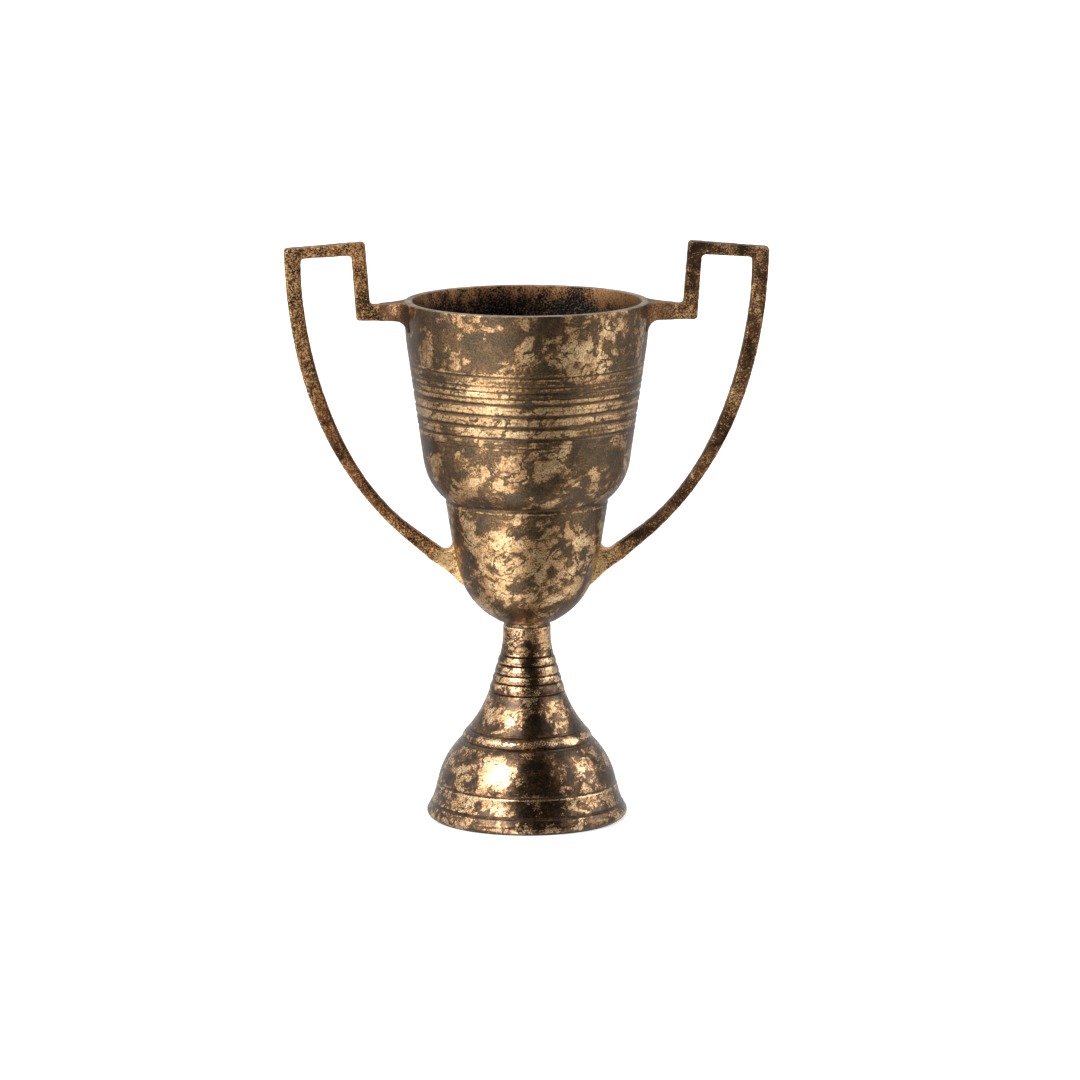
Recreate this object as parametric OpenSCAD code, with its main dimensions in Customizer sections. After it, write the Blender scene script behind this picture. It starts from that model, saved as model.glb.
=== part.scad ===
// Two-handled trophy cup.
// Millimetres, +Z up, origin on the table under the middle of the foot.
// X runs through both handles, Y from front to back.

/* [Bowl] */
// Outer radius of the rim
rim_r = 63.5; // [60:0.5:67]
// Height of the rim above the table
rim_z = 272.9; // [268:0.1:278]
// Width of the flat top of the rim
rim_w = 4; // [2.5:0.1:5]
// Depth of the turned grooves in the upper wall
groove_depth = 0.45; // [0.1:0.05:0.8]
// Height of the lowest of the four wide grooves
groove_z = 208.2; // [203:0.1:210]
// Distance between the wide grooves
groove_pitch = 6; // [5:0.1:6.4]
// Height of the solid floor inside the bowl
floor_z = 119; // [116:0.5:124]

/* [Foot] */
// Radius of the foot at its widest ring
foot_r = 52.4; // [51:0.1:54]
// Radius of the neck where it meets the bowl
neck_r = 12.5; // [11:0.1:13.5]
// Height of the joint between neck and bowl
seam_z = 102; // [101:0.1:103]
// Depth of the turned grooves in the foot
ring_depth = 0.6; // [0.1:0.05:0.9]
// Height of the roof of the hollow, where the washer bears
roof_z = 64; // [62:0.5:66]

/* [Handles] */
// Thickness of the handle bars from front to back
bar_depth = 10; // [7:0.5:13]
// Height of the top inner corner of the handle
handle_top = 304; // [300:0.5:308]
// Distance from the middle to the outside of the handle
handle_reach = 125.9; // [124:0.1:128]
// Radius of the braze fillets beside the upper arm, seen from above
arm_flare_r = 14; // [6:1:18]
// Radius of the braze fillet under the upper arm
under_fillet_r = 5; // [2:0.5:7]

/* [Clamp] */
// Radius of the threaded stud
stud_r = 4; // [3:0.5:5]
// Clearance around the stud in the neck
stud_gap = 0.3; // [0.1:0.05:0.5]
// Depth of the tapped hole in the bowl
tap_depth = 12; // [8:0.5:13]
// Radius of the plain washer
washer_r = 10; // [9:0.5:12]
// Thickness of the plain washer
washer_t = 1.6; // [1:0.1:2]
// Thickness of the spring washer
spring_t = 2.1; // [1.5:0.1:2.5]
// Width of the nut across its flats
nut_flats = 13; // [12:0.5:15]
// Height of the nut
nut_h = 6.5; // [5:0.1:8]
// Length of stud left below the nut
stud_proud = 3; // [1:0.5:5]

/* [Felt] */
// Thickness of the felt ring under the foot
felt_t = 0.8; // [0.6:0.1:1.2]
// Width of the felt ring
felt_w = 3.2; // [2.5:0.1:3.5]

/* [Hidden] */
$fn = 96;

// Finer rounding for the surface that handles and braze are fitted to
fit_fn = 360;
// Steps along one arc or curve of an outline
arc_steps = 8;
curve_steps = 20;

patina = "#6f5a3c";
copper = "#8a6238";
rust_bronze = "#6a4a2c";
braze_gold = "#c0904a";
zinc = "#a9a9a4";
felt_black = "#26241f";

// Where the step in the bowl lies: lower cup, crease and shoulder
cup_low = [38.9, 145.6];
cup_top = [42.3, 167.6];
crease = [42.2, 168.9];
shoulder_low = [43.2, 169.7];
shoulder_mid = [50.4, 178.9];
shoulder_top = [53.8, 189.3];
// Radius gained for each millimetre of height on the upper wall
wall_slope = 0.1415;
wall_bend_z = 246;
// Wall thickness of the bowl at the step
bowl_wall = 4;
boss_r = neck_r - 0.3;

// Foot: heights where its outline turns
ring_top = 8.2;
band_top = 17.8;
bell_low = 19.5;
bead_low = 41.8;
bead_top = 47.2;
flare_top = 67;
rings_top = 87;
foot_wall = 3.8;
// Radius lost for each millimetre of height on the ringed stem
stem_slope = 0.297;
stem_r = 19.9;
// The five grooves in the ringed stem
stem_grooves = [67, 72.5, 76.8, 81.8, 86.5];

// Handle outline, right-hand side, as [x, z]
arm_top_z = rim_z - 0.2;
arm_under_z = 262.8;
step_in = [81, 271.1];
step_top = [83.6, handle_top];
bar_corner = [handle_reach, handle_top - 3.5];
bar_start = [handle_reach - 0.3, handle_top - 10];
loop_out = [116.7, handle_top - 8.8];
loop_in = [90.9, handle_top - 7.3];
step_out = [88.5, arm_under_z];
// Lower end of the bar, where the braze takes over
bar_end_out = [50.7, 137.4];
bar_end_in = [46.9, 144.8];
// Foot of the braze on the lower cup
braze_low = [35.9, 125.6];
braze_knee = [44.1, 133.1];

nut_r = nut_flats / 2 / cos(30);
washer_z = roof_z - washer_t;
spring_z = washer_z - spring_t;
nut_z = spring_z - nut_h;
stud_low = nut_z - stud_proud;
stud_top = seam_z + tap_depth - 0.5;

// ---- Outline helpers, all in [radius or x, z] ----

function unit(v) = v / norm(v);

function angle_of(v) = atan2(v[1], v[0]);

function cross_of(u, v) = u[0] * v[1] - u[1] * v[0];

// Centre of the circle through three points
function centre_of(a, b, c) =
    let (u = b - a, v = c - a, d = 2 * cross_of(u, v))
    a + [v[1] * (u * u) - u[1] * (v * v), u[0] * (v * v) - v[0] * (u * u)] / d;

// Points of the arc that starts at a, passes b and ends at c
function arc(a, b, c, n = arc_steps) =
    let (m = centre_of(a, b, c),
         r = norm(a - m),
         from = angle_of(a - m),
         raw = angle_of(c - m) - from,
         sweep = cross_of(b - a, c - b) > 0 ? (raw < 0 ? raw + 360 : raw) : (raw > 0 ? raw - 360 : raw))
    [for (i = [0:n]) m + r * [cos(from + sweep * i / n), sin(from + sweep * i / n)]];

// Points of a cubic curve
function curve(a, b, c, d, n = curve_steps) =
    [for (i = [0:n]) let (t = i / n, s = 1 - t)
        s * s * s * a + 3 * s * s * t * b + 3 * s * t * t * c + t * t * t * d];

// Points that round the corner b between a and c with radius r
function corner(a, b, c, r, n = 5) =
    let (u = unit(a - b),
         v = unit(c - b),
         half = acos(u * v) / 2,
         m = b + unit(u + v) * r / sin(half),
         from = angle_of(b + u * r / tan(half) - m),
         raw = angle_of(b + v * r / tan(half) - m) - from,
         sweep = raw > 180 ? raw - 360 : (raw < -180 ? raw + 360 : raw))
    [for (i = [0:n]) m + r * [cos(from + sweep * i / n), sin(from + sweep * i / n)]];

// A narrow turned groove on a sloping wall; slope is radius per millimetre of height
function groove(r, z, slope, depth, half) =
    [[r - slope * half, z - half], [r - depth, z], [r + slope * half, z + half]];

function shift(points, dx, dz = 0) = [for (p = points) [p[0] + dx, p[1] + dz]];

// ---- Bowl ----

function wall_r(z) = shoulder_top[0] + wall_slope * (z - shoulder_top[1]);

function wall_groove(z, depth, half) = groove(wall_r(z), z, wall_slope, depth, half);

wall_grooves = [
    for (p = wall_groove(groove_z - 4.7, groove_depth * 0.4, 0.5)) p,
    for (i = [0:3]) for (p = wall_groove(groove_z + groove_pitch * i, groove_depth, 0.9)) p,
    for (i = [1:3]) for (p = wall_groove(groove_z + groove_pitch * 3 + 3.2 * i, groove_depth * 0.6, 0.6)) p,
    for (p = wall_groove(groove_z + 32.6, groove_depth * 0.5, 0.5)) p
];

cup_curve = curve([15.2, 104.8], [31.8, 114], [36.1, 126.8], cup_low, 16);
shoulder = arc(shoulder_low, shoulder_mid, shoulder_top);
rim_bend = arc([wall_r(wall_bend_z), wall_bend_z], [rim_r - 0.4, rim_z - 15.4], [rim_r, rim_z - 1]);

bowl_outline = concat(
    [[boss_r, seam_z], [boss_r, seam_z + 1.4], [boss_r + 0.8, seam_z + 2.1]],
    cup_curve,
    [cup_top, crease],
    shoulder,
    wall_grooves,
    rim_bend,
    corner([rim_r, rim_z - 2], [rim_r, rim_z], [rim_r - 2, rim_z], 0.8, 4)
);

inner_rim_r = rim_r - rim_w;
inner_shoulder = arc([50.2, 190], [47.4, 180.6], [39.6, 171]);
inner_cup = curve([38.2, 166.5], [33.6, 136], [30.5, floor_z], [0, floor_z], 16);

bowl_inside = concat(
    corner([rim_r, rim_z], [inner_rim_r, rim_z], [inner_rim_r - 0.6, rim_z - 20], 0.6, 3),
    [[inner_rim_r - 1, rim_z - 16]],
    inner_shoulder,
    inner_cup
);

// Everything inside the bowl's outer surface, used to fit the handles and braze to it
module bowl_envelope() {
    rotate_extrude($fn = fit_fn)
        polygon(concat([[0, seam_z]], bowl_outline, [[0, rim_z]]));
}

module bowl() {
    color(patina)
        rotate_extrude()
            polygon(concat(
                [[stud_r, seam_z]],
                bowl_outline,
                bowl_inside,
                [[0, seam_z + tap_depth], [stud_r, seam_z + tap_depth]]));
}

// ---- Foot ----

function stem_at(z) = stem_r - stem_slope * (z - flare_top);

function stem_ring(low, high) =
    arc([stem_at(low + 0.6), low + 0.6],
        [stem_at((low + high) / 2) + 0.2, (low + high) / 2],
        [stem_at(high - 0.6), high - 0.6], 4);

stem_rings = [
    for (i = [0:len(stem_grooves) - 2]) each concat(
        [[stem_at(stem_grooves[i]) - ring_depth, stem_grooves[i]]],
        stem_ring(stem_grooves[i], stem_grooves[i + 1]))
];

bell = arc([46.75, bell_low], [42.6, 31], [35.2, bead_low - 0.6]);
bead = arc([34.2, bead_low + 0.5], [33.1, 44.6], [31.5, bead_top - 0.5], 5);
flare = arc([30.6, bead_top + 0.6], [24.6, 56.5], [stem_at(flare_top - 0.7), flare_top - 0.7]);
last_groove = stem_grooves[4];
neck = arc([13.8, rings_top + 0.3], [neck_r + 0.35, 92.5], [neck_r, seam_z - 0.7]);

foot_outline = concat(
    [[foot_r - 2, felt_t]],
    arc([foot_r - 1.3, felt_t], [foot_r, 2.8], [foot_r - 0.9, 5.8], 6),
    [[foot_r - 1.8, ring_top - 0.6], [foot_r - 2.7, ring_top], [foot_r - 2.7, ring_top + 0.6]],
    arc([49.8, ring_top + 1], [48.35, 13.4], [47.35, band_top], 4),
    [[46.7, band_top + 0.5], [46.7, band_top + 1.1]],
    bell,
    [[34.6 - ring_depth, bead_low]],
    bead,
    [[31 - ring_depth, bead_top]],
    flare,
    stem_rings,
    [[stem_at(last_groove) - ring_depth, last_groove]],
    neck,
    [[neck_r - 0.4, seam_z]]
);

hollow_outline = concat(
    [[stud_r + stud_gap, roof_z], [washer_r + 3.4, roof_z], [washer_r + 5.4, roof_z - 1.4]],
    arc([17, 61], [20.8, 55.4], [26.6, 47.6]),
    arc([31, 41.4], [38.7, 30.6], [foot_r - 9.4, bell_low]),
    [[foot_r - 5.7 - 1.4, ring_top + 2], [foot_r - 5.7, felt_t + 1], [foot_r - 5.7, felt_t]]
);

module foot() {
    color(copper)
        rotate_extrude()
            polygon(concat(
                foot_outline,
                [[stud_r + stud_gap, seam_z]],
                hollow_outline));
}

// ---- Handles ----

bar_outside = curve(bar_start, [handle_reach - 2.7, 236.3], [104.7, 182.2], [56.8, 143.3]);
bar_inside = curve([60.5, 155.5], [98.3, 184.5], [116.6, 249.3], [116.8, bar_start[1] - 2]);

handle_outline = concat(
    [[rim_r - 3, arm_top_z]],
    corner([rim_r - 3, arm_top_z], step_in, step_top, 1.1),
    corner(step_in, step_top, bar_corner, 2),
    corner(step_top, bar_corner, bar_start, 2.6),
    bar_outside,
    [bar_end_out, bar_end_in],
    bar_inside,
    corner(bar_inside[curve_steps], loop_out, loop_in, 1.6),
    corner(loop_out, loop_in, step_out, 1.6),
    corner(loop_in, step_out, [rim_r - 3, arm_under_z], 1.8),
    [[rim_r - 3, arm_under_z]]
);

// Stands an [x, z] outline up and gives it its depth along Y
module slab(depth) {
    rotate([90, 0, 0])
        translate([0, 0, -depth / 2])
            linear_extrude(height = depth)
                children();
}

module handle_right() {
    color(rust_bronze)
        difference() {
            slab(bar_depth)
                polygon(handle_outline);
            bowl_envelope();
        }
}

module handle_left() {
    mirror([1, 0, 0])
        handle_right();
}

// ---- Braze metal ----

flare_side = bar_depth / 2 + arm_flare_r;
flare_x = sqrt(pow(rim_r + arm_flare_r, 2) - pow(flare_side, 2));
flare_touch = rim_r / (rim_r + arm_flare_r);

// Fillet between the rim and one side of the arm, seen from above
module flare_plan() {
    difference() {
        polygon([
            [rim_r - 5, bar_depth / 2],
            [flare_x, bar_depth / 2],
            [flare_x, flare_side],
            [flare_x * flare_touch, flare_side * flare_touch],
            [rim_r - 5, flare_side * flare_touch]
        ]);
        translate([flare_x, flare_side])
            circle(r = arm_flare_r);
    }
}

// The side fillets have the arm's own sloping top and level underside
arm_side = [[rim_r - 6, arm_top_z], step_in, [step_in[0], arm_under_z], [rim_r - 6, arm_under_z]];

// The fillet under the arm stops this far short of the arm's sides
fillet_setback = 0.2;
under_x = rim_r - 0.9 + under_fillet_r;
under_fillet = concat(
    [[rim_r - 3, arm_under_z], [under_x, arm_under_z]],
    corner([under_x, arm_under_z], [rim_r - 0.9, arm_under_z],
           [rim_r - 0.9, arm_under_z - under_fillet_r], under_fillet_r - 0.1),
    [[rim_r - 3, arm_under_z - under_fillet_r]]
);

module rim_braze_right() {
    color(rust_bronze)
        difference() {
            union() {
                for (side = [0, 1])
                    mirror([0, side, 0])
                        intersection() {
                            translate([0, 0, arm_under_z - 5])
                                linear_extrude(height = 20)
                                    flare_plan();
                            slab(4 * arm_flare_r + bar_depth)
                                polygon(arm_side);
                        }
                slab(bar_depth - 2 * fillet_setback)
                    polygon(under_fillet);
            }
            bowl_envelope();
        }
}

module rim_braze_left() {
    mirror([1, 0, 0])
        rim_braze_right();
}

// Corner where the bar's inner edge, carried on, would meet the lower cup
braze_corner = [38, 138];
braze_top_fillet = corner(bar_end_in, braze_corner, cup_low, 3.4);

cup_braze_outline = concat(
    [bar_end_in],
    braze_top_fillet,
    [[30, braze_top_fillet[5][1]], [30, braze_low[1] - 2]],
    [braze_low, braze_knee, bar_end_out]
);

module cup_braze_right() {
    color(braze_gold)
        difference() {
            slab(bar_depth)
                polygon(cup_braze_outline);
            bowl_envelope();
        }
}

module cup_braze_left() {
    mirror([1, 0, 0])
        cup_braze_right();
}

// ---- Clamp ----

module ring(outer, inner, z, h) {
    translate([0, 0, z])
        difference() {
            cylinder(r = outer, h = h);
            translate([0, 0, -1])
                cylinder(r = inner, h = h + 2);
        }
}

module clamp_stud() {
    color(zinc)
        translate([0, 0, stud_low])
            cylinder(r = stud_r, h = stud_top - stud_low);
}

module clamp_washer() {
    color(zinc)
        ring(washer_r, stud_r + 0.2, washer_z, washer_t);
}

// Split ring; the cut lies along +X
module spring_washer() {
    color(zinc)
        difference() {
            ring(stud_r + 3, stud_r + 0.1, spring_z, spring_t);
            translate([0, -0.6, spring_z - 1])
                cube([stud_r + 4, 1.2, spring_t + 2]);
        }
}

module clamp_nut() {
    color(zinc)
        translate([0, 0, nut_z])
            difference() {
                cylinder(r = nut_r, h = nut_h, $fn = 6);
                translate([0, 0, -1])
                    cylinder(r = stud_r, h = nut_h + 2);
            }
}

// ---- Felt ----

module base_felt() {
    color(felt_black)
        ring(foot_r - 2.2, foot_r - 2.2 - felt_w, 0, felt_t);
}

bowl();
handle_left();
handle_right();
rim_braze_left();
rim_braze_right();
cup_braze_left();
cup_braze_right();
foot();
clamp_stud();
clamp_washer();
spring_washer();
clamp_nut();
base_felt();
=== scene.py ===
"""Looks of a two-handled trophy cup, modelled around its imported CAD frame.

Lengths are metres in the CAD frame: +Z up, X through both handles, Y from front to back.
Outlines are written in millimetres, as (radius or x, height) pairs, and scaled once. Each
sub-assembly is a class that models its meshes and dresses them in procedural finishes.
"""

import logging
import math
from dataclasses import dataclass, field
from enum import Enum
from typing import Sequence

import bpy
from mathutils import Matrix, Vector


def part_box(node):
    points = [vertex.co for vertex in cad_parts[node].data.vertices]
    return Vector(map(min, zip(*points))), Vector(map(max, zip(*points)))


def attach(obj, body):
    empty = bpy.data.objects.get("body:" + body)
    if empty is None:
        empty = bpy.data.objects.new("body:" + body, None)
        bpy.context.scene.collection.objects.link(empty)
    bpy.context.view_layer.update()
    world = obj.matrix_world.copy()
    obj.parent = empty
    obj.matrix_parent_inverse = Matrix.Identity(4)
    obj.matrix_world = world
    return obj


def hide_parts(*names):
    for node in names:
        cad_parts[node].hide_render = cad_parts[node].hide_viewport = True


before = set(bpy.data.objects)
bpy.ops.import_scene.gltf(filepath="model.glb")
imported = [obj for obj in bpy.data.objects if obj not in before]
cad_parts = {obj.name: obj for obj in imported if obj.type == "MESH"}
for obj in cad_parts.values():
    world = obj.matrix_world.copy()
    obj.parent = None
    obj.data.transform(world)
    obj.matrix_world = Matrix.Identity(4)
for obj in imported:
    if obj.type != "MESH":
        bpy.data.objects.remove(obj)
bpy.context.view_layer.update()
LOG = logging.getLogger("trophy")
BODY = "root"
MM = 0.001
COAT_ROUGHNESS = 0.22
INSIDE_CAD = 0.03  # Margin that keeps a turned wall inside its CAD node, in millimetres

Pair = tuple[float, float]
Socket = bpy.types.NodeSocket
Colour = tuple[float, float, float]
Line = tuple[float, float, float]
Row = tuple[float, float, float, float, float]


class Side(Enum):
    """The side of the cup that a handle stands on, as its direction along X."""

    LEFT = -1
    RIGHT = 1


# ---- Outlines ---------------------------------------------------------------------------


def arc(a: Pair, b: Pair, c: Pair, steps: int = 16) -> list[Pair]:
    """Follows the circle through three points.

    Args:
        a: First point.
        b: A point on the way.
        c: Last point.
        steps: Number of steps from a to c.

    Returns:
        The points from a to c, both included.
    """
    ux, uy, vx, vy = b[0] - a[0], b[1] - a[1], c[0] - a[0], c[1] - a[1]
    twice = 2 * (ux * vy - uy * vx)
    uu, vv = ux * ux + uy * uy, vx * vx + vy * vy
    mx = a[0] + (vy * uu - uy * vv) / twice
    my = a[1] + (ux * vv - vx * uu) / twice
    radius = math.hypot(a[0] - mx, a[1] - my)
    start = math.atan2(a[1] - my, a[0] - mx)
    sweep = math.atan2(c[1] - my, c[0] - mx) - start
    turns_left = (b[0] - a[0]) * (c[1] - b[1]) - (b[1] - a[1]) * (c[0] - b[0]) > 0
    if turns_left and sweep < 0:
        sweep += 2 * math.pi
    if not turns_left and sweep > 0:
        sweep -= 2 * math.pi
    angles = [start + sweep * i / steps for i in range(steps + 1)]
    return [(mx + radius * math.cos(t), my + radius * math.sin(t)) for t in angles]


def curve(a: Pair, b: Pair, c: Pair, d: Pair, steps: int = 40) -> list[Pair]:
    """Follows a cubic curve.

    Args:
        a: First point.
        b: Handle of the first point.
        c: Handle of the last point.
        d: Last point.
        steps: Number of steps from a to d.

    Returns:
        The points from a to d, both included.
    """
    made = []
    for i in range(steps + 1):
        t = i / steps
        s = 1 - t
        weights = (s * s * s, 3 * s * s * t, 3 * s * t * t, t * t * t)
        made.append(tuple(sum(w * p[k] for w, p in zip(weights, (a, b, c, d))) for k in (0, 1)))
    return made


def rounded(a: Pair, b: Pair, c: Pair, radius: float, steps: int = 6) -> list[Pair]:
    """Rounds the corner b between a and c.

    Args:
        a: Point before the corner.
        b: The corner.
        c: Point after the corner.
        radius: Radius of the rounding.
        steps: Number of steps round the corner.

    Returns:
        The points round the corner.
    """
    before, corner, after = Vector(a), Vector(b), Vector(c)
    u = (before - corner).normalized()
    v = (after - corner).normalized()
    half = u.angle(v) / 2
    middle = corner + (u + v).normalized() * radius / math.sin(half)
    first = corner + u * radius / math.tan(half) - middle
    last = corner + v * radius / math.tan(half) - middle
    start = math.atan2(first.y, first.x)
    sweep = math.remainder(math.atan2(last.y, last.x) - start, 2 * math.pi)
    angles = [start + sweep * i / steps for i in range(steps + 1)]
    return [(middle.x + radius * math.cos(t), middle.y + radius * math.sin(t)) for t in angles]


def straight(a: Pair, b: Pair, steps: int) -> list[Pair]:
    """Divides the line from a to b and returns its inner points."""
    return [tuple(a[k] + (b[k] - a[k]) * i / steps for k in (0, 1)) for i in range(1, steps)]


def dense(points: Sequence[Pair], longest: float) -> list[Pair]:
    """Adds points along an outline so that no step is longer than given.

    Args:
        points: The outline.
        longest: Longest step allowed.

    Returns:
        The same outline with its long steps divided.
    """
    made = [points[0]]
    for a, b in zip(points, points[1:]):
        length = math.dist(a, b)
        if length < 1e-6:
            continue
        made += straight(a, b, max(1, math.ceil(length / longest)))
        made.append(b)
    return made


# ---- Modelling --------------------------------------------------------------------------


def object_mode() -> None:
    """Leaves edit mode and selects nothing."""
    if bpy.context.object and bpy.context.object.mode != "OBJECT":
        bpy.ops.object.mode_set(mode="OBJECT")
    bpy.ops.object.select_all(action="DESELECT")


def pick(piece: bpy.types.Object) -> None:
    """Makes one object the only selected and active one."""
    object_mode()
    piece.select_set(True)
    bpy.context.view_layer.objects.active = piece


def first_vertex(at: Vector) -> None:
    """Adds a tiny plane at a point and merges it to a single, selected vertex."""
    bpy.ops.mesh.primitive_plane_add(size=MM, location=at)
    if bpy.context.object.mode != "EDIT":
        bpy.ops.object.mode_set(mode="EDIT")
        bpy.ops.mesh.select_all(action="SELECT")
    bpy.ops.mesh.merge(type="CENTER")


def draw_line(points: Sequence[Vector]) -> None:
    """Extrudes the selected vertex along the points, the first of which is where it lies."""
    for a, b in zip(points, points[1:]):
        bpy.ops.mesh.extrude_region_move(TRANSFORM_OT_translate={"value": b - a})


def upright(outline: Sequence[Pair], y: float = 0.0) -> list[Vector]:
    """Stands an outline in millimetres up in the XZ plane, in metres."""
    return [Vector((x * MM, y, z * MM)) for x, z in outline]


def settle(piece: bpy.types.Object, smooth_angle: float = 40.0) -> bpy.types.Object:
    """Closes a mesh, turns its faces outwards, applies its place and shades it smooth.

    Args:
        piece: The mesh object.
        smooth_angle: Edges sharper than this, in degrees, stay crisp.

    Returns:
        The same object.
    """
    pick(piece)
    bpy.ops.object.transform_apply(location=True, rotation=True, scale=True)
    bpy.ops.object.mode_set(mode="EDIT")
    bpy.ops.mesh.select_all(action="SELECT")
    bpy.ops.mesh.remove_doubles(threshold=0.002 * MM)
    bpy.ops.mesh.normals_make_consistent(inside=False)
    bpy.ops.object.mode_set(mode="OBJECT")
    bpy.ops.object.shade_smooth_by_angle(angle=math.radians(smooth_angle))
    return piece


def lathe(name: str, outline: Sequence[Pair], segments: int,
          smooth_angle: float = 40.0) -> bpy.types.Object:
    """Turns a closed outline round the Z axis.

    Args:
        name: Name of the piece.
        outline: The section, as (radius, height) pairs in millimetres.
        segments: Steps round the axis.
        smooth_angle: Edges sharper than this, in degrees, stay crisp.

    Returns:
        The closed mesh object.
    """
    object_mode()
    points = upright(outline)
    first_vertex(points[0])
    draw_line(points)
    piece = bpy.context.object
    piece.name = piece.data.name = name
    bpy.ops.mesh.select_all(action="SELECT")
    bpy.ops.mesh.spin(steps=segments, angle=2 * math.pi, center=(0, 0, 0), axis=(0, 0, 1))
    return settle(piece, smooth_angle)


def strip(name: str, near: Sequence[Vector], far: Sequence[Vector], rise: Vector) -> bpy.types.Object:
    """Bridges two lines of points into a strip and extrudes it to a solid.

    Args:
        name: Name of the piece.
        near: One edge of the strip, in metres.
        far: The other edge, with as many points.
        rise: Way that the strip is extruded.

    Returns:
        The mesh object, closed, with sharp edges.
    """
    object_mode()
    first_vertex(near[0])
    draw_line(near)
    piece = bpy.context.object
    piece.name = piece.data.name = name
    bpy.ops.mesh.select_all(action="DESELECT")
    first_vertex(far[0])
    draw_line(far)
    bpy.ops.mesh.select_all(action="SELECT")
    bpy.ops.mesh.bridge_edge_loops()
    bpy.ops.mesh.select_all(action="SELECT")
    bpy.ops.mesh.extrude_region_move(TRANSFORM_OT_translate={"value": rise})
    return settle(piece)


def ribbon(name: str, near: Sequence[Pair], far: Sequence[Pair], depth: float) -> bpy.types.Object:
    """Models a flat upright bar from its two edges.

    Args:
        name: Name of the piece.
        near: One edge of the bar, as (x, z) pairs in millimetres.
        far: The other edge, with as many points.
        depth: Depth along Y, in millimetres, with Y = 0 in the middle.

    Returns:
        The mesh object, closed, with sharp edges.
    """
    front = -depth / 2 * MM
    return strip(name, upright(near, front), upright(far, front), Vector((0, depth * MM, 0)))


def modify(piece: bpy.types.Object, kind: str, **settings: object) -> None:
    """Adds a modifier to a piece, sets its properties and applies it.

    Args:
        piece: The mesh object.
        kind: The modifier's type.
        **settings: Its properties, by name.
    """
    pick(piece)
    bpy.ops.object.modifier_add(type=kind)
    modifier = piece.modifiers[-1]
    for name, value in settings.items():
        setattr(modifier, name, value)
    bpy.ops.object.modifier_apply(modifier=modifier.name)


def soften(piece: bpy.types.Object, bevel: float, voxel: float, passes: int) -> None:
    """Rounds a bar's edges, then remeshes and smooths it as a casting leaves the mould.

    Args:
        piece: The mesh object.
        bevel: Radius of the edges, in millimetres.
        voxel: Size of the new faces, in millimetres.
        passes: Smoothing passes.
    """
    modify(piece, "BEVEL", width=bevel * MM, segments=3, limit_method="ANGLE",
           angle_limit=math.radians(50))
    modify(piece, "REMESH", mode="VOXEL", voxel_size=voxel * MM)
    modify(piece, "SMOOTH", factor=0.5, iterations=passes)


def roughen(piece: bpy.types.Object, grain: float, depth: float) -> None:
    """Sinks a cast surface by uneven amounts, never raising it.

    Args:
        piece: The mesh object.
        grain: Size of the unevenness, in millimetres.
        depth: Deepest point, in millimetres.
    """
    cloud = bpy.data.textures.new(f"{piece.name}_sand", type="CLOUDS")
    cloud.noise_scale = grain * MM
    cloud.noise_depth = 3
    modify(piece, "DISPLACE", texture=cloud, texture_coords="LOCAL", strength=depth * MM, mid_level=1.0)
    bpy.data.textures.remove(cloud)
    bpy.ops.object.shade_smooth()


def hand_over(piece: bpy.types.Object, slot: str, *nodes: str) -> None:
    """Ties a finished piece to the frame and reports it.

    Args:
        piece: The finished piece.
        slot: The record's material slot that it takes its finish from; not used.
        *nodes: The CAD nodes that it stands for.
    """
    if nodes:
        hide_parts(*nodes)
    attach(piece, BODY)
    LOG.info("%s: %d faces, stands for %s", piece.name, len(piece.data.polygons), ", ".join(nodes))


# ---- Node graphs ------------------------------------------------------------------------


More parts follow.
